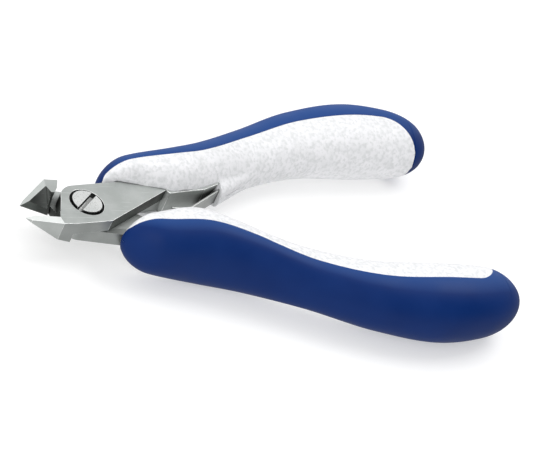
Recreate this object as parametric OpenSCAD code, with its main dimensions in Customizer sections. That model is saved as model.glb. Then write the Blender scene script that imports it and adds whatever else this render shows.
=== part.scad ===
// Flush cut pliers for fine wire, about 120 mm long, drawn with the jaws open.
// Frame: the origin is on the pivot axis at the back face of the head. +X runs along the centre
// line to the handles, +Y to the upper handle and +Z up to the screw head. Lengths are in mm.
// Each half is drawn in its closed frame, where the cutting edges meet on Y = 0, and is then
// turned by half the opening angle about the pivot.

/* [Head] */
// Thickness of the head
head_t = 6.5; // [5.6:0.1:7.5]
// Half width of the head at the jaws
head_half_w = 6.35; // [6:0.05:6.8]
// Distance from the pivot to the tip of the jaws
jaw_reach = 14.9; // [13.5:0.1:16]
// Angle that each half is turned from closed
half_open = 7.3; // [5:0.1:7.3]
// Slope of the flush ground back of the jaws
flush_slope = 0.25; // [0.2:0.01:0.27]
// Lean of the narrow bevel behind each cutting edge
bevel_lean = 0.4; // [0.2:0.05:0.6]
// Gap between the two lap faces
lap_gap = 0.06; // [0.04:0.01:0.2]

/* [Pivot screw] */
// Radius of the screw head
screw_head_r = 3.5; // [3.2:0.05:3.8]
// Radius of the counterbore around the screw head
counterbore_r = 4.12; // [4:0.02:4.3]
// Radius of the bearing shank
shank_r = 2.6; // [2.2:0.05:2.8]
// Radius of the threaded end
thread_r = 1.9; // [1.6:0.05:2]
// Width of the driver slot
slot_w = 1.2; // [0.8:0.1:1.6]
// Direction of the driver slot
slot_angle = 43; // [0:1:180]

/* [Handles] */
// Distance from the pivot to the tail of the handles
tail_x = 105; // [102:1:112]
// Distance from the pivot to the nose of the handles
nose_x = 6.8; // [6.6:0.1:8]
// Thickness of the soft grip where it wraps the tail
tail_wrap = 5; // [3:0.5:6]

/* [Springs] */
// Thickness of the spring leaf
leaf_t = 0.5; // [0.3:0.05:0.6]
// Width of the spring leaf
leaf_w = 4; // [3:0.1:5]
// Distance from the pivot to the free end of the leaf
leaf_tip_x = 22.4; // [19:0.1:23]

/* [Hidden] */

steel = [0.66, 0.68, 0.67];
spring_steel = [0.74, 0.75, 0.75];
speckled_grey = [0.87, 0.88, 0.90];
soft_blue = [0.11, 0.22, 0.48];

mid_z = head_t / 2;
reach = 300;
running = 0.04;

// Head, in the closed frame of the half that has its jaw at -Y
tip = [-jaw_reach, 0, -0.1];
jaw_corner_x = -9;
jaw_half_w = head_half_w - 0.3;
rim_corner = [jaw_corner_x, -jaw_half_w, mid_z];
edge_end_x = -8;
lap_r = 5;
lap_centre = [-1, 0.6];
plate_bottom_x = 3.45;
plate_tip = [22.6, 1.95];
plate_edge_angle = atan2(plate_tip.y + head_half_w, plate_tip.x - plate_bottom_x);
nest_gap = 2;
counterbore_z = 1.5;
screw_top_z = 3.55;
slot_depth = 1.2;

// Handles, in a frame that the tang is bent into
handle_bend = 7.3;
nose_r = 7.3;
tail_r = 12;
tail_power = 2.5;
wrap_curve = 9;
wrap_depth = 12;
steps = 34;
around = 28;

// x, centre line y, outer half width, inner half width, half thickness
stations = [
    [nose_x, 8.3, 5, 4, 6.4],
    [16, 10.1, 6.1, 7.8, 7.3],
    [26, 11.4, 6.5, 9.8, 8.4],
    [36, 14.5, 6.6, 8.2, 7.8],
    [50, 20.9, 6.4, 8.7, 6.5],
    [66, 26.4, 7.7, 9.6, 7.3],
    [84, 28.2, 9.3, 10, 8.6],
    [tail_x, 27.4, 6.8, 8.6, 7],
];

// Spring and the pocket it sits in, in the handle frame of the upper half
root = [37, 6.5];
root_slope = 32;
root_depth = 9;
flat_y = 0.12 + leaf_t / 2;
bend_r = 4;
pocket_clear = 0.12;
pocket_half_h = 2.9;

// Everything on the side of the plane through a, b and c that its normal (b - a) x (c - a) points to
module beyond(a, b, c) {
    n = cross(b - a, c - a);
    translate(a)
        rotate([0, acos(n.z / norm(n)), atan2(n.y, n.x)])
            translate([-reach / 2, -reach / 2, 0])
                cube([reach, reach, reach]);
}

// ---- Head ----

function arc(r, from, to, n) = [for (i = [0:n]) let (t = from + (to - from) * i / n) r * [cos(t), sin(t)]];

// Full outline of one half from the jaw corner to the tail of its tang
module half_outline() {
    polygon(concat(
        [
            [jaw_corner_x, -jaw_half_w],
            [jaw_corner_x + 3, -head_half_w],
            [plate_bottom_x, -head_half_w],
            plate_tip,
            [plate_tip.x + 0.4, 0.8],
            [33, 1.2],
            [37.5, 2.6],
            [43, 6.2],
            [52, 9.6],
            [68.7, 13.2],
            [80.5, 13.5],
            [80.5, 16.9],
            [68.7, 16.8],
            [52, 13.4],
            [37.4, 8.6],
            [plate_tip.x, 6.9],
            [11.4, 5.8],
        ],
        [for (p = arc(lap_r, 90, 165, 10)) lap_centre + p],
        [[-7.7, -1.5]]
    ));
}

// The layer that the other half's plate nests in: cut back to clear it in the closed position
module opposite_layer() {
    difference() {
        half_outline();
        translate([plate_bottom_x, head_half_w])
            rotate(-plate_edge_angle)
                translate([-reach / 2, nest_gap - reach])
                    square(reach);
        translate([plate_tip.x - reach, plate_tip.y - reach])
            square(reach);
    }
}

module lap_and_tang() {
    translate([0, 0, lap_gap / 2])
        linear_extrude(mid_z - lap_gap / 2)
            half_outline();
    translate([0, 0, -mid_z])
        linear_extrude(head_t)
            opposite_layer();
}

// Jaw at -Y, full thickness, ahead of a shoulder that the other half's lap swings past
module jaw_blank() {
    translate([0, 0, -mid_z])
        linear_extrude(head_t)
            polygon([
                [-jaw_reach, 0],
                [-jaw_reach + 1, -1.45],
                [jaw_corner_x, -jaw_half_w],
                [jaw_corner_x + 3, -head_half_w],
                [-5.6, -head_half_w],
                [-6.3, -3.8],
                [-7.5, -1.6],
                [-7.6, 0],
            ]);
}

// Flush ground back of the head, from the tip towards the pivot
module flush_back() {
    beyond(tip, tip + [1, 0, -flush_slope], tip + [0, -1, 0]);
}

// Jaw at -Y with its ground faces: sloping rim, hollow and the bevel band behind the edge
module jaw() {
    edge_end = [edge_end_x, 0, tip.z - flush_slope * (edge_end_x + jaw_reach)];
    hollow_rim = [-8.9, -3.8, mid_z - 0.1];
    hollow_nose = [-12.9, -0.62, 1];
    hollow_foot = [-8, -0.42, -0.6];
    wall_top = [-7.8, -1.5, mid_z];
    difference() {
        jaw_blank();
        beyond(rim_corner, [jaw_corner_x, 0, mid_z], tip);
        intersection() {
            beyond(hollow_rim, hollow_foot, hollow_nose);
            beyond(hollow_rim, wall_top, hollow_foot);
        }
        beyond(tip, tip + [0, -bevel_lean, 1], edge_end);
    }
}

module front_half() {
    color(steel)
        rotate(half_open)
            translate([0, 0, mid_z])
                difference() {
                    union() {
                        lap_and_tang();
                        jaw();
                    }
                    flush_back();
                    translate([0, 0, -1])
                        cylinder(h = head_t, r = shank_r + running, $fn = 64);
                    translate([0, 0, counterbore_z])
                        cylinder(h = head_t, r = counterbore_r, $fn = 64);
                }
}

module back_half() {
    color(steel)
        rotate(-half_open)
            translate([0, 0, mid_z])
                difference() {
                    union() {
                        rotate([180, 0, 0]) lap_and_tang();
                        mirror([0, 1, 0]) jaw();
                    }
                    flush_back();
                    translate([0, 0, -head_t])
                        cylinder(h = 2 * head_t, r = thread_r, $fn = 64);
                }
}

module pivot_screw() {
    color(spring_steel)
        difference() {
            union() {
                cylinder(h = mid_z, r = thread_r, $fn = 64);
                translate([0, 0, mid_z])
                    cylinder(h = counterbore_z + 0.5, r = shank_r, $fn = 64);
                translate([0, 0, mid_z + counterbore_z + lap_gap])
                    cylinder(h = screw_top_z - counterbore_z - lap_gap, r = screw_head_r, $fn = 64);
            }
            translate([0, 0, mid_z + screw_top_z - slot_depth])
                rotate(slot_angle)
                    translate([-screw_head_r - 1, -slot_w / 2, 0])
                        cube([2 * screw_head_r + 2, slot_w, slot_depth + 1]);
        }
}

// ---- Handles ----

function span(x, i = 0) = i >= len(stations) - 2 || x < stations[i + 1][0] ? i : span(x, i + 1);

function slope(i, k) = let (a = max(i - 1, 0), b = min(i + 1, len(stations) - 1))
    (stations[b][k] - stations[a][k]) / (stations[b][0] - stations[a][0]);

// Value of column k of the stations at x, on a smooth curve through them
function at(x, k) = let (
    i = span(x),
    w = stations[i + 1][0] - stations[i][0],
    t = (x - stations[i][0]) / w,
    p = stations[i][k],
    q = stations[i + 1][k]
) p * (1 + 2 * t) * pow(1 - t, 2) + q * t * t * (3 - 2 * t)
    + w * t * (1 - t) * (slope(i, k) * (1 - t) - slope(i + 1, k) * t);

// Rounding factor of the sections near the nose and the tail
function end_round(x) = let (
    u = max(0, 1 - (x - nose_x) / nose_r),
    v = max(0, 1 - (tail_x - x) / tail_r)
) sqrt(max(0, 1 - u * u)) * pow(max(0, 1 - pow(v, tail_power)), 1 / tail_power);

// Stations are closer together near both ends
function station_x(i) = let (u = (1 - cos(180 * i / steps)) / 2) nose_x + 0.02 + u * (tail_x - nose_x - 0.04);

function section(x) = let (e = end_round(x))
    [for (j = [0:around - 1])
        let (t = 360 * j / around, s = sin(t))
        [x, at(x, 1) + e * s * (s > 0 ? at(x, 2) : at(x, 3)), e * cos(t) * at(x, 4)]];

module handle_blank() {
    points = [for (i = [0:steps]) each section(station_x(i))];
    sides = [
        for (i = [0:steps - 1], j = [0:around - 1])
            let (a = i * around + j, b = i * around + (j + 1) % around)
            each [[a, b, a + around], [b, b + around, a + around]]
    ];
    nose_cap = [[for (j = [0:around - 1]) around - 1 - j]];
    tail_cap = [[for (j = [0:around - 1]) steps * around + j]];
    polyhedron(points, concat(sides, nose_cap, tail_cap));
}

// Inner side of the handle up to the parting line, which turns inwards ahead of the wrapped tail
module core_side() {
    start_x = nose_x + 2;
    wrap_x = tail_x - tail_wrap;
    turn_x = wrap_x - wrap_curve;
    translate([0, 0, -reach / 2])
        linear_extrude(reach)
            polygon(concat(
                [for (i = [0:20]) let (x = start_x + i * (turn_x - start_x) / 20) [x, at(x, 1)]],
                [
                    for (t = [15:15:90])
                        let (x = turn_x + wrap_curve * sin(t))
                        [x, at(x, 1) - wrap_depth * (1 - cos(t))]
                ],
                [[wrap_x, 0], [start_x, 0]]
            ));
}

// One face of the window below, with the two points where its edge leaves the head
module window_side(leave, meet) {
    linear_extrude(reach)
        polygon([
            [-20, -20],
            [-20, 5.9],
            leave,
            meet,
            [plate_tip.x + 0.4, 0.8],
            [33, 1.2],
            [37.5, 2.6],
            [37.5, -20],
        ]);
}

// Part of the handle that leaves the head and the inner faces of the tang bare: the core stays
// behind the plate on the face with the plate, and reaches the nest on the other face
module head_window() {
    window_side([11.4, 5.9], plate_tip + [0.2, 0.15]);
    mirror([0, 0, 1])
        window_side([8, 5.9], [17, 2.1]);
}

// Moulded block that holds the root of the spring
module pocket_block() {
    translate([0, 0, -pocket_half_h])
        linear_extrude(2 * pocket_half_h)
            polygon([
                root + [0.4, -1.4],
                root + [1.2, 2.6],
                root + [16, 13],
                root + [16.5, 8.2],
            ]);
}

// Leaf path: a straight root in the pocket, a bend, and a flat run to the free end
function leaf_path() = let (
    down = [cos(root_slope), sin(root_slope)],
    corner = root - down * (root.y - flat_y) / down.y,
    cut = bend_r * tan(root_slope / 2),
    centre = [corner.x - cut, flat_y + bend_r]
) concat(
    [root + root_depth * down],
    [for (i = [6:-1:0]) let (t = root_slope * i / 6) centre + bend_r * [sin(t), -cos(t)]],
    [[leaf_tip_x, flat_y]]
);

function unit(v) = v / norm(v);
function normal_at(path, i) = let (
    a = path[max(i - 1, 0)],
    b = path[min(i + 1, len(path) - 1)],
    d = unit(b - a)
) [-d.y, d.x];

module leaf(thick, width, grow = 0) {
    path = leaf_path();
    n = len(path) - 1;
    grown = concat([path[0] + grow * unit(path[0] - path[1])], [for (i = [1:n]) path[i]]);
    translate([0, 0, mid_z - width / 2])
        linear_extrude(width)
            polygon(concat(
                [for (i = [0:n]) grown[i] + normal_at(path, i) * thick / 2],
                [for (i = [n:-1:0]) grown[i] - normal_at(path, i) * thick / 2]
            ));
}

// The same piece turned over about the X axis, for the lower half
module turn_over() {
    translate([0, 0, mid_z])
        rotate([180, 0, 0])
            translate([0, 0, -mid_z])
                children();
}

// Upper handle in its half's closed frame
module core() {
    difference() {
        translate([0, 0, mid_z])
            rotate(-handle_bend)
                union() {
                    intersection() {
                        handle_blank();
                        core_side();
                    }
                    pocket_block();
                }
        translate([0, 0, mid_z])
            head_window();
        linear_extrude(head_t)
            half_outline();
        rotate(-handle_bend)
            leaf(leaf_t + 2 * pocket_clear, leaf_w + 2 * pocket_clear, 0.3);
    }
}

module grip() {
    difference() {
        translate([0, 0, mid_z])
            rotate(-handle_bend)
                difference() {
                    handle_blank();
                    core_side();
                }
        translate([0, 0, mid_z])
            head_window();
        linear_extrude(head_t)
            half_outline();
    }
}

module upper_core() {
    color(speckled_grey) rotate(half_open) core();
}

module lower_core() {
    color(speckled_grey) turn_over() rotate(half_open) core();
}

module upper_grip() {
    color(soft_blue) rotate(half_open) grip();
}

module lower_grip() {
    color(soft_blue) turn_over() rotate(half_open) grip();
}

module upper_spring() {
    color(spring_steel) leaf(leaf_t, leaf_w);
}

module lower_spring() {
    color(spring_steel) turn_over() leaf(leaf_t, leaf_w);
}

front_half();
back_half();
pivot_screw();
upper_core();
lower_core();
upper_grip();
lower_grip();
upper_spring();
lower_spring();
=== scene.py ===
"""Flush cut pliers: satin steel head, speckled grey handle cores, soft blue grips and leaf springs."""

import math

import bmesh
import bpy
from mathutils import Matrix, Vector


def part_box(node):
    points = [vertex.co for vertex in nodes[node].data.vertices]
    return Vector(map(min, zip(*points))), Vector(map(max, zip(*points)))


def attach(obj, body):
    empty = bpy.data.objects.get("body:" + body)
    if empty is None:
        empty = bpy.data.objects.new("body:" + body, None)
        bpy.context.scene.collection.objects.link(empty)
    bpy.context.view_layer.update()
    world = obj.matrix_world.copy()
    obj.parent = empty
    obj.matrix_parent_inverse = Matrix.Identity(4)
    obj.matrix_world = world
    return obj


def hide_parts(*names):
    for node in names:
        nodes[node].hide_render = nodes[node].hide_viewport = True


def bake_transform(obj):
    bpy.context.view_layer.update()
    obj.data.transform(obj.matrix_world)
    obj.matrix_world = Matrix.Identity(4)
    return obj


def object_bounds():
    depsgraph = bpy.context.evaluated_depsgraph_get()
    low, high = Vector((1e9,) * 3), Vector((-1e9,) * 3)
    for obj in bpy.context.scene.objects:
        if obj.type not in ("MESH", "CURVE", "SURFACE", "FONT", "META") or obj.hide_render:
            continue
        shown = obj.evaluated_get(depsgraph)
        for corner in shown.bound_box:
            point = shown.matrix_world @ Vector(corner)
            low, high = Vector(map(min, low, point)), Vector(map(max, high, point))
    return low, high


MM = 0.001

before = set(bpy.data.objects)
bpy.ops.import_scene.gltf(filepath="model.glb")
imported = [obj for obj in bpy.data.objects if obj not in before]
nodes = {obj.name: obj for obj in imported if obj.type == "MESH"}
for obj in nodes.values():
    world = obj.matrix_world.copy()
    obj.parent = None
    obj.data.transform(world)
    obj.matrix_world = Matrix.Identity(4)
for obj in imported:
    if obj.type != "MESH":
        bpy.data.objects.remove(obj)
cad_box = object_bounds()

# The frame's own places. Lengths are in millimetres unless a comment says otherwise.
HEAD_LOW, HEAD_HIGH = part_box("front_half")
MID_Z = (HEAD_LOW.z + HEAD_HIGH.z) / 2 / MM
NOSE_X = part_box("upper_grip")[0].x / MM
TAIL_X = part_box("upper_grip")[1].x / MM
SCREW_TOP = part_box("pivot_screw")[1].z / MM

# Points closer than this become one; lofted skins have very small faces at their ends
MERGE = 0.001
STEEL_MERGE = 0.002
LOFT_MERGE = 0.02

# ---------------------------------------------------------------- handle form

# x, centre line y, outer half width, inner half width, half thickness
STATIONS = [
    (NOSE_X, 8.3, 5.0, 1.5, 6.4),
    (16, 10.1, 6.1, 4.3, 7.3),
    (26, 11.4, 6.5, 7.4, 8.4),
    (36, 14.5, 6.6, 7.6, 7.8),
    (50, 20.9, 6.4, 8.7, 6.5),
    (66, 26.4, 7.7, 9.6, 7.3),
    (84, 28.2, 9.3, 10.0, 8.6),
    (TAIL_X, 27.4, 6.8, 8.6, 7.0),
]
CENTRE, OUTER, INNER, THICK = 1, 2, 3, 4
NOSE_ROUND = 7.3
TAIL_ROUND = 12.0
TAIL_POWER = 2.5
SECTION_POWER = 2.1

# The parting line curves down at both ends, where the grip wraps the core: length and depth of each curve,
# and the length of the tail behind its curve that is all grip
NOSE_CURVE = 1.4
NOSE_SWEEP = 3.0
TAIL_CURVE = 9.0
TAIL_SWEEP = 12.0
TAIL_WRAP = 5.6

# Extra fullness of the inner side on the face where the other half's plate nests; the skew moves its peak
# along the handle, and the parting line there dips by a share of it
BULGE = 3.5
BULGE_START = 5.0
BULGE_END = 40.0
BULGE_SKEW = 0.8
BULGE_DIP = 0.28

# Outward sweep of the parting line behind the nose, on the face with the plate
RISE = 1.0
RISE_START = 7.0
RISE_END = 32.0

# The plastic's wall steps inwards below the steel's top face, to stay inside the steel
STEEL_HALF = 3.25
WALL_INSET = 1.1
WALL_STEP_TOP = STEEL_HALF + 0.05
WALL_STEP_LOW = STEEL_HALF - 0.03

# Edge of the plastic where it leaves the head and the inner faces of the tang bare: x, y
TANG_EDGE = [(33.0, 5.6), (37.5, 7.6), (38.0, -20.0)]
PLATE_EDGE = [(0.0, 7.2), (10.6, 7.3), (22.2, 5.0), (23.0, 4.2), (27.0, 4.75)] + TANG_EDGE
NEST_EDGE = [(0.0, 7.2), (7.5, 7.0), (17.0, 4.1), (23.0, 3.8), (28.0, 4.5)] + TANG_EDGE

# Moulded block at the inner side of each handle, with the leaf spring's root in it
BLOCK_FRONT = 37.6
BLOCK_END = 56.0
BLOCK_HALF = 2.9
BLOCK_ROUND = 1.5
BLOCK_CROWN = 1.3
BLOCK_CROWN_POWER = 2.5
BLOCK_BLEND = 0.9
BLOCK_UNDERSIDE = [(37.0, 4.9), (53.5, 14.7), (56.0, 16.4)]

# Sections along a handle, and steps around one: on each side of a core, in its wall and around a grip
SECTIONS = 190
SIDE_STEPS = 34
WALL_STEPS = 4
GRIP_STEPS = 56

# Gaps from the end sections to the ends, from an even section to a corner, and from the block's front
END_GAP = 0.01
CORNER_GAP = 0.12
BLOCK_GAP = 0.03


def clamp(value, low=0.0, high=1.0):
    return max(low, min(high, value))


def spread(start, end, steps):
    return [start + (end - start) * i / steps for i in range(steps + 1)]


def span(x):
    """Index of the station before x."""
    for i in range(len(STATIONS) - 2):
        if x < STATIONS[i + 1][0]:
            return i
    return len(STATIONS) - 2


def slope(i, column):
    before = STATIONS[max(i - 1, 0)]
    after = STATIONS[min(i + 1, len(STATIONS) - 1)]
    return (after[column] - before[column]) / (after[0] - before[0])


def along(x, column):
    """A column of the stations at x, on a smooth curve through them."""
    i = span(x)
    before, after = STATIONS[i], STATIONS[i + 1]
    width = after[0] - before[0]
    t = (x - before[0]) / width
    value = before[column] * (1 + 2 * t) * (1 - t) ** 2 + after[column] * t * t * (3 - 2 * t)
    return value + width * t * (1 - t) * (slope(i, column) * (1 - t) - slope(i + 1, column) * t)


def polyline(points, x):
    for (x0, y0), (x1, y1) in zip(points, points[1:]):
        if x <= x1:
            return y0 + (y1 - y0) * (x - x0) / (x1 - x0)
    return points[-1][1]


def end_round(x):
    """Share of the full section: 1 along the handle, 0 at the nose and at the tail."""
    nose = max(0.0, 1 - (x - NOSE_X) / NOSE_ROUND)
    tail = max(0.0, 1 - (TAIL_X - x) / TAIL_ROUND)
    return math.sqrt(max(0.0, 1 - nose * nose)) * max(0.0, 1 - tail ** TAIL_POWER) ** (1 / TAIL_POWER)


def circle_drop(u):
    """Drop of a quarter circle of radius 1, from 0 at u = 0 to 1 at u = 1."""
    return 1 - math.sqrt(1 - u * u)


def parting_drop(x):
    """How far the parting line dips below the centre line, where the grip wraps the nose and the tail."""
    tail = max(0.0, (x - (TAIL_X - TAIL_WRAP - TAIL_CURVE)) / TAIL_CURVE)
    nose = max(0.0, (NOSE_X + NOSE_CURVE - x) / NOSE_CURVE)
    if tail >= 1 or nose >= 1:
        return math.inf
    return TAIL_SWEEP * circle_drop(tail) + NOSE_SWEEP * circle_drop(nose)


def bulge(x):
    t = clamp((x - BULGE_START) / (BULGE_END - BULGE_START))
    return BULGE * math.sin(math.pi * t ** BULGE_SKEW)


def rise(x):
    t = clamp((x - RISE_START) / (RISE_END - RISE_START))
    return RISE * math.sin(math.pi * math.sqrt(t))


def signed_power(v):
    return math.copysign(abs(v) ** (2 / SECTION_POWER), v)


def inner_half(x, nest):
    return along(x, INNER) + (bulge(x) if nest else 0.0)


def section_point(x, angle):
    """A point of the handle's skin: angle 0 over the centre line on the plate's face, 90 degrees outside."""
    share = end_round(x)
    sine, cosine = math.sin(angle), math.cos(angle)
    half = along(x, OUTER) if sine > 0 else inner_half(x, cosine < 0)
    y = along(x, CENTRE) + share * half * signed_power(sine)
    return y, share * along(x, THICK) * signed_power(cosine)


def dip(x, y, nest):
    """How far the skin turns inwards from the centre line, as an angle, to come down to height y."""
    drop = along(x, CENTRE) - y
    half = inner_half(x, nest) if drop > 0 else along(x, OUTER)
    share = min(1.0, abs(drop) / (max(end_round(x), 1e-6) * half))
    return math.copysign(math.asin(share ** (SECTION_POWER / 2)), drop)


def parting_dips(x):
    """The parting line's angle on the plate's face and on the nest's face."""
    y = along(x, CENTRE) - parting_drop(x)
    return dip(x, y + rise(x), False), dip(x, y - BULGE_DIP * bulge(x), True)


def section_places():
    """Positions of the sections: close together at the ends, and one at each corner of the plastic's edge."""
    start, end = NOSE_X + END_GAP, TAIL_X - END_GAP
    even = [start + (end - start) * (1 - math.cos(math.pi * i / SECTIONS)) / 2 for i in range(SECTIONS + 1)]
    corners = [x for x, y in PLATE_EDGE[1:4] + NEST_EDGE[2:3]]
    corners += [BLOCK_FRONT - BLOCK_GAP, BLOCK_FRONT + BLOCK_GAP]
    clear = [x for x in even if min(abs(x - corner) for corner in corners) > CORNER_GAP]
    return sorted(clear + corners)


def block_drop(x, y, z):
    """Lowers the inner skin to the moulded block that holds the spring, with soft shoulders."""
    if x < BLOCK_FRONT or x > BLOCK_END:
        return y
    side = max(0.0, abs(z) - BLOCK_HALF + BLOCK_ROUND) / BLOCK_ROUND
    keel = polyline(BLOCK_UNDERSIDE, x) + BLOCK_CROWN * side ** BLOCK_CROWN_POWER
    share = clamp(0.5 + 0.5 * (y - keel) / BLOCK_BLEND)
    return y * (1 - share) + keel * share - BLOCK_BLEND * share * (1 - share)


def core_section(x):
    """Skin of the plate's face, a wall down through the steel, and the skin of the nest's face."""
    plate_top, nest_top = parting_dips(x)
    plate_low = max(plate_top, dip(x, polyline(PLATE_EDGE, x), False))
    nest_low = max(nest_top, dip(x, polyline(NEST_EDGE, x), True))
    plate = [section_point(x, -a) for a in spread(plate_top, plate_low, SIDE_STEPS)]
    nest = [section_point(x, math.pi + a) for a in spread(nest_low, nest_top, SIDE_STEPS)]
    inset = WALL_INSET if x < BLOCK_FRONT else 0.0
    (plate_y, plate_z), (nest_y, nest_z) = plate[-1], nest[0]
    wall = [(plate_y, min(plate_z, WALL_STEP_TOP))]
    wall += [(plate_y + inset, z) for z in spread(min(plate_z, WALL_STEP_LOW), 0, WALL_STEPS)]
    wall += [(nest_y + inset, z) for z in spread(0, max(nest_z, -WALL_STEP_LOW), WALL_STEPS)]
    wall += [(nest_y, max(nest_z, -WALL_STEP_TOP))]
    return [(block_drop(x, y, z), z) for y, z in plate + wall + nest]


def grip_section(x):
    plate_top, nest_top = parting_dips(x)
    lowest = polyline(PLATE_EDGE, x)
    skin = [section_point(x, a) for a in spread(-plate_top, math.pi + nest_top, GRIP_STEPS)]
    return [(max(y, lowest), z) for y, z in skin]


# ---------------------------------------------------------------- mesh helpers

def new_object(name, verts, faces):
    """A mesh object from points in millimetres."""
    mesh = bpy.data.meshes.new(name)
    mesh.from_pydata([Vector(v) * MM for v in verts], [], faces)
    obj = bpy.data.objects.new(name, mesh)
    bpy.context.scene.collection.objects.link(obj)
    return obj


def clean(obj, merge=MERGE):
    bm = bmesh.new()
    bm.from_mesh(obj.data)
    bmesh.ops.remove_doubles(bm, verts=bm.verts, dist=merge * MM)
    bmesh.ops.dissolve_degenerate(bm, dist=merge * MM, edges=bm.edges)
    bmesh.ops.recalc_face_normals(bm, faces=bm.faces)
    bm.to_mesh(obj.data)
    bm.free()
    return obj


def loft(name, section, side, places):
    """A closed skin through the sections; side is 1 for the upper handle, -1 turns it over for the lower."""
    rows = [section(x) for x in places]
    n = len(rows[0])
    verts = [(x, side * y, MID_Z + side * z) for x, row in zip(places, rows) for y, z in row]
    faces = []
    for i in range(len(rows) - 1):
        for j in range(n):
            k = (j + 1) % n
            faces.append((i * n + j, i * n + k, (i + 1) * n + k, (i + 1) * n + j))
    faces.append(tuple(reversed(range(n))))
    faces.append(tuple((len(rows) - 1) * n + j for j in range(n)))
    return clean(new_object(name, verts, faces), LOFT_MERGE)


def prism(name, outline, half_height):
    """A closed solid: the outline in the XY plane, drawn to both sides of the middle plane."""
    n = len(outline)
    verts = [(x, y, z) for z in (MID_Z - half_height, MID_Z + half_height) for x, y in outline]
    faces = [tuple(range(n)), tuple(range(n, 2 * n))]
    faces += [(i, (i + 1) % n, n + (i + 1) % n, n + i) for i in range(n)]
    return clean(new_object(name, verts, faces))


def add_bevel(obj, width, **limit):
    """Two-step bevel, then normals that keep the flat faces flat."""
    bevel = obj.modifiers.new("edge", "BEVEL")
    bevel.width = width * MM
    bevel.segments = 2
    for name, value in limit.items():
        setattr(bevel, name, value)
    normals = obj.modifiers.new("normals", "WEIGHTED_NORMAL")
    normals.keep_sharp = True


def soften(obj, width, degrees=35):
    """Rounds the edges sharper than an angle and shades the rest smooth."""
    add_bevel(obj, width, limit_method="ANGLE", angle_limit=math.radians(degrees))
    for face in obj.data.polygons:
        face.use_smooth = True


def cut(obj, cutter):
    """Takes the cutter's volume out of the piece."""
    modifier = obj.modifiers.new("cut", "BOOLEAN")
    modifier.operation = "DIFFERENCE"
    modifier.solver = "EXACT"
    modifier.object = cutter
    bpy.context.view_layer.update()
    result = bpy.data.meshes.new_from_object(obj.evaluated_get(bpy.context.evaluated_depsgraph_get()))
    obj.modifiers.remove(modifier)
    obj.data = result
    bpy.data.objects.remove(cutter)


# ---------------------------------------------------------------- materials

BLACK = (0, 0, 0)
WHITE = (1, 1, 1)


def grey(value):
    return (value,) * 3


class Graph:
    """Short calls that build the shader nodes of a material or of the world."""

    def __init__(self, owner):
        owner.use_nodes = True
        self.owner = owner
        self.nodes = owner.node_tree.nodes
        self.links = owner.node_tree.links

    def add(self, kind, **settings):
        node = self.nodes.new("ShaderNode" + kind)
        for name, value in settings.items():
            setattr(node, name, value)
        return node

    def feed(self, socket, value):
        """Gives a socket its input: another node's output, a colour, a vector or a number."""
        if isinstance(value, bpy.types.NodeSocket):
            self.links.new(value, socket)
        elif socket.type == "RGBA":
            socket.default_value = (*value, 1)
        else:
            socket.default_value = value

    def feed_all(self, node, **values):
        """Feeds several sockets by name, with _ for a space."""
        for name, value in values.items():
            self.feed(node.inputs[name.replace("_", " ")], value)

    def position(self, scale):
        """The object's own coordinates, times a scale for each axis."""
        mapping = self.add("Mapping")
        self.feed_all(mapping, Vector=self.add("TexCoord").outputs["Object"], Scale=scale)
        return mapping.outputs["Vector"]

    def noise(self, detail, x, y=None, z=None):
        """Noise with about this many cells to the metre along each axis."""
        node = self.add("TexNoise")
        self.feed_all(node, Vector=self.position((x, y or x, z or x)), Scale=1.0, Detail=detail)
        return node.outputs["Fac"]

    def ramp(self, value, *stops):
        """A colour between two stops, each a place and a colour."""
        node = self.add("ValToRGB")
        for element, (place, colour) in zip(node.color_ramp.elements, stops):
            element.position = place
            element.color = (*colour, 1)
        self.feed(node.inputs["Fac"], value)
        return node.outputs["Color"]

    def mix(self, factor, a, b, blend="MIX"):
        node = self.add("Mix", data_type="RGBA", blend_type=blend)
        self.feed_all(node, Factor=factor, A=a, B=b)
        return node.outputs["Result"]

    def bump(self, height, strength, depth):
        node = self.add("Bump")
        self.feed_all(node, Strength=strength, Distance=depth * MM, Height=height)
        return node.outputs["Normal"]

    def crevice(self, reach, tone):
        """A mask for painted shade: white in the open, falling to a grey tone in corners and gaps narrower
        than reach.
        """
        occlusion = self.add("AmbientOcclusion", samples=8)
        self.feed(occlusion.inputs["Distance"], reach * MM)
        return self.ramp(occlusion.outputs["AO"], (0.25, grey(tone)), (0.8, WHITE))

    def facing(self, direction, axis):
        """Cosine of the angle between a direction and an axis."""
        node = self.add("VectorMath", operation="DOT_PRODUCT")
        self.feed(node.inputs[0], direction)
        self.feed(node.inputs[1], axis)
        return node.outputs["Value"]

    def fade(self, value, start, end, low, high, interpolation="LINEAR"):
        """Goes from low to high as the value goes from start to end."""
        node = self.add("MapRange", interpolation_type=interpolation)
        self.feed_all(node, Value=value, From_Min=start, From_Max=end, To_Min=low, To_Max=high)
        return node.outputs["Result"]

    def calculate(self, operation, a, b):
        node = self.add("Math", operation=operation)
        self.feed(node.inputs[0], a)
        self.feed(node.inputs[1], b)
        return node.outputs["Value"]


class Surface(Graph):
    """A material under construction, with one Principled shader."""

    def __init__(self, name, colour, metallic, roughness):
        super().__init__(bpy.data.materials.new(name))
        self.shader = self.nodes["Principled BSDF"]
        self.set(Base_Color=colour, Metallic=metallic, Roughness=roughness)

    def set(self, **values):
        """Feeds the shader's inputs by name."""
        self.feed_all(self.shader, **values)


# Painted shade darkens gaps narrower than this down to this tone; scratches are brighter than the steel by
# this factor
SHADE_REACH = 2.2
SHADE_TONE = 0.12
SCRATCH_GAIN = 1.12


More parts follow.
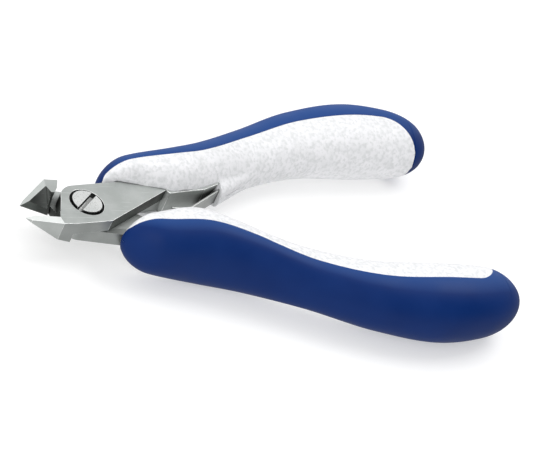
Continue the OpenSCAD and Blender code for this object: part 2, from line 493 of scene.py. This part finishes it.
def steel(name, dark, light, roughness, grain_depth=0.02):
    """Satin steel: cloudy tone, a fine blasted grain, a few faint scratches and painted shade in the
    crevices.
    """
    surface = Surface(name, light, 1.0, roughness)
    grain = surface.noise(4, 4200)
    cloud = surface.noise(4, 160)
    streak = surface.noise(2, 150, 3800, 3800)
    tone = surface.ramp(cloud, (0.35, dark), (0.65, light))
    scratch = surface.ramp(streak, (0.66, BLACK), (0.74, WHITE))
    metal = surface.mix(scratch, tone, tuple(SCRATCH_GAIN * c for c in light))
    # The base colour takes painted shade in corners and gaps
    surface.set(
        Base_Color=surface.mix(1.0, metal, surface.crevice(SHADE_REACH, SHADE_TONE), "MULTIPLY"),
        Roughness=surface.ramp(grain, (0.3, grey(roughness - 0.06)), (0.7, grey(roughness + 0.08))),
        Normal=surface.bump(grain, 0.3, grain_depth),
    )
    return surface.owner


def edge_steel():
    """Bright worn metal on the broken edges; part of its brightness is a painted highlight."""
    surface = Surface("edge_steel", (0.93, 0.94, 0.93), 1.0, 0.3)
    wear = surface.noise(3, 1500)
    surface.set(Base_Color=surface.ramp(wear, (0.3, (0.72, 0.74, 0.73)), (0.6, (0.97, 0.98, 0.97))))
    return surface.owner


def dark_recess():
    """Painted shade: near-black steel in the gap around the screw head and in its slot."""
    surface = Surface("dark_recess", (0.01, 0.011, 0.011), 0.0, 0.6)
    shade_mottle = surface.noise(3, 900)
    surface.set(
        Base_Color=surface.ramp(shade_mottle, (0.35, (0.006, 0.007, 0.007)), (0.7, (0.02, 0.021, 0.02))),
        Specular_IOR_Level=0.2,
    )
    return surface.owner


def speckled_plastic():
    """Pale grey moulded plastic with faint darker flecks."""
    surface = Surface("speckled_plastic", (0.8, 0.81, 0.84), 0.0, 0.45)
    fleck = surface.noise(4, 1100)
    cloud = surface.noise(4, 300)
    fine = surface.noise(2, 2800)
    tone = surface.ramp(cloud, (0.35, (0.78, 0.785, 0.80)), (0.6, (0.84, 0.84, 0.86)))
    dots = surface.ramp(fleck, (0.36, WHITE), (0.56, BLACK))
    surface.set(
        Base_Color=surface.mix(dots, tone, (0.68, 0.69, 0.70)),
        Roughness=surface.ramp(fine, (0.3, grey(0.4)), (0.7, grey(0.52))),
        Normal=surface.bump(fine, 0.2, 0.02),
        Specular_IOR_Level=0.35,
    )
    return surface.owner


def blue_rubber():
    """Deep blue soft grip: a matt moulded skin, rubbed patches, and painted light that makes faces pointing
    up paler.
    """
    surface = Surface("blue_rubber", (0.003, 0.03, 0.17), 0.0, 0.5)
    cloud = surface.noise(4, 110)
    fine = surface.noise(3, 3600)
    tone = surface.ramp(cloud, (0.3, (0.0012, 0.0195, 0.118)), (0.7, (0.0025, 0.024, 0.135)))
    # Painted light: faces that point up get a paler blue
    upwards = surface.facing(surface.add("NewGeometry").outputs["Normal"], (0.0, 0.45, 0.89))
    painted_top_light = surface.ramp(upwards, (0.6, BLACK), (1.0, WHITE))
    surface.set(
        Base_Color=surface.mix(painted_top_light, tone, (0.014, 0.062, 0.235)),
        Roughness=surface.ramp(cloud, (0.35, grey(0.44)), (0.7, grey(0.56))),
        Normal=surface.bump(fine, 0.35, 0.03),
        Specular_IOR_Level=0.13,
    )
    return surface.owner


TOOL_STEEL = steel("tool_steel", (0.40, 0.422, 0.41), (0.475, 0.497, 0.485), 0.42)
SCREW_STEEL = steel("screw_steel", (0.66, 0.68, 0.67), (0.80, 0.81, 0.80), 0.3, 0.03)
SPRING_STEEL = steel("spring_steel", (0.42, 0.435, 0.425), (0.52, 0.53, 0.52), 0.36)
PLASTIC = speckled_plastic()
RUBBER = blue_rubber()

# What a steel piece has beside its own steel, in the order of its material slots
BODY, BEVEL, RECESS, GROUND, SHADED, TANG, RIM = range(7)
STEEL_EXTRAS = (
    # bright edges: worn metal, partly a painted highlight
    edge_steel(),
    # painted shade in the screw's slot and around its head
    dark_recess(),
    # hollow-ground faces, darkened with painted shade
    steel("ground_steel", (0.20, 0.215, 0.205), (0.26, 0.275, 0.265), 0.34),
    # painted shade on the throat and on the plate's flank
    steel("shaded_steel", (0.05, 0.054, 0.051), (0.11, 0.116, 0.11), 0.5),
    # painted light: a lighter tone on the tang's inner faces
    steel("tang_steel", (0.50, 0.525, 0.51), (0.60, 0.625, 0.61), 0.62),
    # painted highlight: a lighter tone on the jaw's top faces
    steel("rim_steel", (0.58, 0.60, 0.59), (0.66, 0.68, 0.67), 0.36),
)

# ---------------------------------------------------------------- steel pieces

# Faces that meet at less than the flat angle are joined, and edges sharper than the edge angle are broken
BEVEL_WIDTH = 0.24
SCREW_BEVEL = 0.2
FLAT_DEGREES = 1.5
EDGE_DEGREES = 10

# Inside these, a face belongs to the screw's slot or to the counterbore around its head
SLOT_REACH = 3.4
SLOT_Z = (SCREW_TOP - 1.3, SCREW_TOP - 0.02)
COUNTERBORE_RADIUS = 4.2
COUNTERBORE_Z = (MID_Z + 1.4, MID_Z + 3.1)

# Where the bevels get finer, and their share of the full width there
JAW_X = -7.0
JAW_SHARE = 0.45
TIP_X = -14.0
TIP_SHARE = 0.2

# Where the hollow-ground faces and the faces with painted shade or light are, and which way their normals
# point
UPRIGHT = (-0.2, 0.2)
# Hollow-ground faces of the jaws, their steel darkened with painted shade
HOLLOW_X = -7.3
HOLLOW_TILT = (0.25, 0.85)
HOLLOW_TURN = 0.45
# Throat faces between the jaws and the pivot, in painted shade
THROAT_X = (-9.2, -2.5)
THROAT_Y = (-4.0, 5.6)
THROAT_TILT = (-0.5, 0.8)
# Top faces of the front half's jaw, with a painted highlight
RIM_X = -8.0
RIM_TILT = 0.85
# The plate's flank, upright and turned towards the handles, in painted shade
FLANK_X = (3.0, 23.0)
FLANK_TURN = 0.35
# Inner faces of the tang, painted lighter
TANG_X = 14.0
TANG_HALF = 6.0


def finish_piece(obj, materials, node, body=None):
    """Gives a piece its materials, hides the CAD node that it stands for, and hangs it on its body if it has
    one.
    """
    obj.data.materials.clear()
    for mat in materials:
        obj.data.materials.append(mat)
    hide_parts(node)
    if body:
        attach(obj, body)


def within(value, limits):
    return limits[0] < value < limits[1]


def in_recess(node, face):
    """True on the walls of the screw's slot and on the counterbore around the screw head."""
    centre = face.calc_center_median() / MM
    radius = math.hypot(centre.x, centre.y)
    if node == "pivot_screw":
        in_slot = radius < SLOT_REACH and within(centre.z, SLOT_Z)
        return in_slot and within(face.normal.z, UPRIGHT)
    return node == "front_half" and radius < COUNTERBORE_RADIUS and within(centre.z, COUNTERBORE_Z)


def steel_slot(node, face):
    """The material slot of one face of a steel piece."""
    # The slot's walls and the counterbore around the screw head take painted shade
    if in_recess(node, face):
        return RECESS
    if node == "pivot_screw":
        return BODY
    centre, normal = face.calc_center_median() / MM, face.normal
    to_other_jaw = -normal.y if node == "back_half" else normal.y
    upright = within(normal.z, UPRIGHT)
    if centre.x < HOLLOW_X and within(normal.z, HOLLOW_TILT) and to_other_jaw > HOLLOW_TURN:
        return GROUND
    if within(centre.x, THROAT_X) and within(centre.y, THROAT_Y) and within(normal.z, THROAT_TILT):
        return SHADED
    if node == "front_half" and centre.x < RIM_X and normal.z > RIM_TILT:
        return RIM
    if within(centre.x, FLANK_X) and upright and normal.x > FLANK_TURN:
        return SHADED
    inner_side = centre.x > FLANK_X[1] or abs(centre.y) < TANG_HALF
    return TANG if centre.x > TANG_X and upright and inner_side else BODY


def edge_weight(edge):
    """Share of the bevel's width: full on the plate, finer on the jaws, none on hollow corners."""
    if len(edge.link_faces) != 2 or edge.calc_face_angle_signed() < math.radians(EDGE_DEGREES):
        return 0.0
    ends = [vert.co.x / MM for vert in edge.verts]
    if min(ends) < TIP_X:
        return TIP_SHARE
    return JAW_SHARE if sum(ends) / 2 < JAW_X else 1.0


def steel_piece(node, mat, body, width):
    """The CAD solid with its long edges broken by a fine bright bevel, finer on the jaws."""
    obj = bpy.data.objects.new(node + "_steel", nodes[node].data.copy())
    bpy.context.scene.collection.objects.link(obj)
    finish_piece(obj, (mat, *STEEL_EXTRAS), node, body)
    bm = bmesh.new()
    bm.from_mesh(obj.data)
    bmesh.ops.remove_doubles(bm, verts=bm.verts, dist=STEEL_MERGE * MM)
    bmesh.ops.dissolve_limit(bm, angle_limit=math.radians(FLAT_DEGREES), verts=bm.verts, edges=bm.edges)
    weight = bm.edges.layers.float.new("bevel_weight_edge")
    for edge in bm.edges:
        edge[weight] = edge_weight(edge)
    for face in bm.faces:
        face.material_index = steel_slot(node, face)
        face.smooth = True
    bm.to_mesh(obj.data)
    bm.free()
    add_bevel(obj, width, limit_method="WEIGHT", material=BEVEL)


# ---------------------------------------------------------------- leaf springs and handles

# A leaf: a straight root in the block, a slanting run, a bend, and a flat run beside the other leaf
LEAF_ROOT = Vector((37.0, 6.5))
LEAF_ANGLE = math.radians(32)
LEAF_ALONG = Vector((math.cos(LEAF_ANGLE), math.sin(LEAF_ANGLE)))
LEAF_ACROSS = Vector((-LEAF_ALONG.y, LEAF_ALONG.x))
LEAF_DEPTH = 8.0
LEAF_BEND = 4.0
LEAF_FLAT_Y = 0.37
LEAF_TIP_X = 22.4
LEAF_THICK = 0.5
LEAF_HALF_WIDTH = 2.0
LEAF_EDGE = 0.1
LEAF_EDGE_DEGREES = 50
ROOT_STEPS, RUN_STEPS, BEND_STEPS, FLAT_STEPS = 10, 14, 12, 10

# The block's mouth for the leaf and the fine slot on its underside: a starting point, then outlines as
# distances along and across the leaf
MOUTH = Vector((BLOCK_FRONT - 0.6, 5.0))
MOUTH_OUTLINE = [(-2, 1), (5, 1), (5, 3.6), (-2, 6)]
MOUTH_HALF = 2.2
GROOVE = Vector((39.8, 6.55))
GROOVE_OUTLINE = [(0, -1), (6.4, -1), (6.4, 0.45), (0, 0.45)]
GROOVE_HALF = 0.15

HANDLE_EDGE = 0.22
CORE_EDGE_DEGREES = 38


def leaf_path():
    """The leaf's middle line, from the end of its root to its free tip."""
    corner = LEAF_ROOT - LEAF_ALONG * ((LEAF_ROOT.y - LEAF_FLAT_Y) / LEAF_ALONG.y)
    centre = Vector((corner.x - LEAF_BEND * math.tan(LEAF_ANGLE / 2), LEAF_FLAT_Y + LEAF_BEND))
    bend_start = centre - LEAF_BEND * LEAF_ACROSS
    tip = Vector((LEAF_TIP_X, LEAF_FLAT_Y))
    root = [LEAF_ROOT + LEAF_ALONG * LEAF_DEPTH * (1 - i / ROOT_STEPS) for i in range(ROOT_STEPS)]
    run = [LEAF_ROOT.lerp(bend_start, i / RUN_STEPS) for i in range(RUN_STEPS)]
    angles = spread(LEAF_ANGLE, 0, BEND_STEPS)
    bend = [centre + LEAF_BEND * Vector((math.sin(a), -math.cos(a))) for a in angles]
    flat = [bend[-1].lerp(tip, i / FLAT_STEPS) for i in range(1, FLAT_STEPS + 1)]
    return root + run + bend + flat


def leaf_outline():
    """Both sides of the leaf, out along one and back along the other."""
    path = leaf_path()
    last = len(path) - 1
    ahead = [path[min(i + 1, last)] - path[max(i - 1, 0)] for i in range(last + 1)]
    offsets = [Vector((-d.y, d.x)).normalized() * LEAF_THICK / 2 for d in ahead]
    outward = [point + offset for point, offset in zip(path, offsets)]
    inward = [point - offset for point, offset in zip(path, offsets)]
    return outward + inward[::-1]


def leaf_spring(prefix, side):
    """One leaf, from its root in the handle's block to its free tip."""
    outline = leaf_outline()
    n = len(outline)
    levels = (MID_Z - LEAF_HALF_WIDTH, MID_Z + LEAF_HALF_WIDTH)
    verts = [(point.x, side * point.y, z) for z in levels for point in outline]
    faces = [(i, (i + 1) % n, n + (i + 1) % n, n + i) for i in range(n)]
    for i in range(n // 2 - 1):
        strip = (i, i + 1, n - 2 - i, n - 1 - i)
        faces += [strip, tuple(n + corner for corner in strip)]
    leaf = clean(new_object(prefix + "_leaf", verts, faces))
    soften(leaf, LEAF_EDGE, LEAF_EDGE_DEGREES)
    finish_piece(leaf, (SPRING_STEEL,), prefix + "_spring")
    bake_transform(leaf)


def leaf_cutter(name, corner, outline, half_height, side):
    points = [corner + LEAF_ALONG * u + LEAF_ACROSS * v for u, v in outline]
    return prism(name, [(point.x, side * point.y) for point in points], half_height)


def handle_core(prefix, side, body):
    """Hard plastic core, with the leaf's mouth and the fine slot cut in its block."""
    core = loft(prefix + "_core_shell", core_section, side, section_places())
    cut(core, leaf_cutter("mouth", MOUTH, MOUTH_OUTLINE, MOUTH_HALF, side))
    cut(core, leaf_cutter("groove", GROOVE, GROOVE_OUTLINE, GROOVE_HALF, side))
    soften(core, HANDLE_EDGE, CORE_EDGE_DEGREES)
    finish_piece(core, (PLASTIC,), prefix + "_core", body)


def handle_grip(prefix, side, body):
    """Soft overmould on the outer side, around the nose and the tail."""
    grip = loft(prefix + "_grip_shell", grip_section, side, section_places())
    soften(grip, HANDLE_EDGE)
    finish_piece(grip, (RUBBER,), prefix + "_grip", body)


# ---------------------------------------------------------------- stage, light and camera

FLOOR_HALF = 3000
FLOOR_GAP = 0.2
FLOOR_GLOW = 0.43

# Brightness of the floor that steel mirrors at two places on X, in metres, with a fade between them
MIRROR_X = (-0.018, 0.0)
MIRROR_LIGHT = (1.0, 0.62)

# The room's light, and two round patches in it: direction, inner and outer radius in degrees, light added
WORLD_LIGHT = 0.82
BRIGHT_PANEL = ((-0.35, 0.6, 0.72), 16, 40, 0.9)
DARK_FLAG = ((0.62, -0.72, 0.28), 28, 58, -0.96)

# Camera: azimuth, elevation and roll in degrees, distance and shifts from the pivot, and the lens
CAMERA_ANGLES = (-40.59, 35.06, 27.45)
CAMERA_DISTANCE = 593.0
CAMERA_RIGHT = 41.66
CAMERA_UP = -2.69
CAMERA_LENS = 178.4
CAMERA_SENSOR = 36
CAMERA_NEAR = 0.01


def add_floor():
    """Plain pale floor; steel mirrors it a little darker towards the handles, as under a product tent."""
    low = cad_box[0][2] / MM - FLOOR_GAP
    corners = [(x * FLOOR_HALF, y * FLOOR_HALF, low) for x, y in ((-1, -1), (1, -1), (1, 1), (-1, 1))]
    obj = new_object("floor", corners, [(0, 1, 2, 3)])
    surface = Surface("floor", grey(0.62), 0.0, 0.8)
    surface.set(Emission_Color=WHITE, Emission_Strength=FLOOR_GLOW)
    split = surface.add("SeparateXYZ")
    surface.feed_all(split, Vector=surface.position(grey(1)))
    mirrored = surface.add("Emission")
    surface.feed_all(mirrored, Strength=surface.fade(split.outputs["X"], *MIRROR_X, *MIRROR_LIGHT))
    switch = surface.add("MixShader")
    surface.feed(switch.inputs["Fac"], surface.add("LightPath").outputs["Is Glossy Ray"])
    surface.feed(switch.inputs[1], surface.shader.outputs["BSDF"])
    surface.feed(switch.inputs[2], mirrored.outputs["Emission"])
    surface.feed(surface.nodes["Material Output"].inputs["Surface"], switch.outputs["Shader"])
    obj.data.materials.append(surface.owner)


def area_light(name, place, target, size, power):
    """A square light, with its places and its size in metres."""
    light = bpy.data.lights.new(name, "AREA")
    light.size = size
    light.energy = power
    obj = bpy.data.objects.new(name, light)
    obj.location = place
    obj.rotation_euler = (Vector(target) - Vector(place)).to_track_quat("-Z", "Y").to_euler()
    bpy.context.scene.collection.objects.link(obj)


def sky_patch(room, direction, axis, inner, outer, light):
    """Light in a round patch of the sky, fading to 0 from inner to outer degrees around its axis."""
    angles = math.cos(math.radians(outer)), math.cos(math.radians(inner))
    cosine = room.facing(direction, Vector(axis).normalized())
    return room.calculate("MULTIPLY", room.fade(cosine, *angles, 0.0, 1.0, "SMOOTHSTEP"), light)


def add_world():
    """An even white room with one brighter panel behind and one dark flag, which the jaws mirror."""
    room = Graph(bpy.data.worlds.new("studio"))
    direction = room.add("TexCoord").outputs["Generated"]
    bright = sky_patch(room, direction, *BRIGHT_PANEL)
    dark = sky_patch(room, direction, *DARK_FLAG)
    light = room.calculate("ADD", room.calculate("ADD", dark, 1.0), bright)
    strength = room.calculate("MULTIPLY", light, WORLD_LIGHT)
    room.feed_all(room.nodes["Background"], Color=WHITE, Strength=strength)
    bpy.context.scene.world = room.owner


def add_camera():
    """A long lens at the angle of the product view, rolled so the lower handle lies nearly level."""
    azimuth, elevation, roll = (math.radians(angle) for angle in CAMERA_ANGLES)
    level = math.cos(elevation)
    back = Vector((math.sin(azimuth) * level, -math.cos(azimuth) * level, math.sin(elevation)))
    right = Vector((0, 0, 1)).cross(back).normalized()
    up = back.cross(right)
    x_axis = right * math.cos(roll) + up * math.sin(roll)
    y_axis = up * math.cos(roll) - right * math.sin(roll)
    place = x_axis * CAMERA_RIGHT + y_axis * CAMERA_UP + back * CAMERA_DISTANCE + Vector((0, 0, MID_Z))
    data = bpy.data.cameras.new("camera")
    data.sensor_width = CAMERA_SENSOR
    data.lens = CAMERA_LENS
    data.clip_start = CAMERA_NEAR
    obj = bpy.data.objects.new("camera", data)
    rotation = Matrix((x_axis, y_axis, back)).transposed().to_4x4()
    obj.matrix_world = Matrix.Translation(place * MM) @ rotation
    bpy.context.scene.collection.objects.link(obj)
    bpy.context.scene.camera = obj


# ---------------------------------------------------------------- assembly

steel_piece("front_half", TOOL_STEEL, "front_side", BEVEL_WIDTH)
steel_piece("back_half", TOOL_STEEL, "back_side", BEVEL_WIDTH)
steel_piece("pivot_screw", SCREW_STEEL, "back_side", SCREW_BEVEL)
for prefix, side, body in (("upper", 1, "front_side"), ("lower", -1, "back_side")):
    handle_core(prefix, side, body)
    handle_grip(prefix, side, body)
    leaf_spring(prefix, side)

bpy.context.scene.view_settings.view_transform = "Standard"
add_floor()
add_world()
area_light("key", place=(0.35, 0.08, 0.5), target=(0, 0, 0), size=0.3, power=1.2)
area_light("front", place=(-0.45, -0.5, 0.5), target=(0.04, 0, 0), size=0.6, power=2.5)
add_camera()
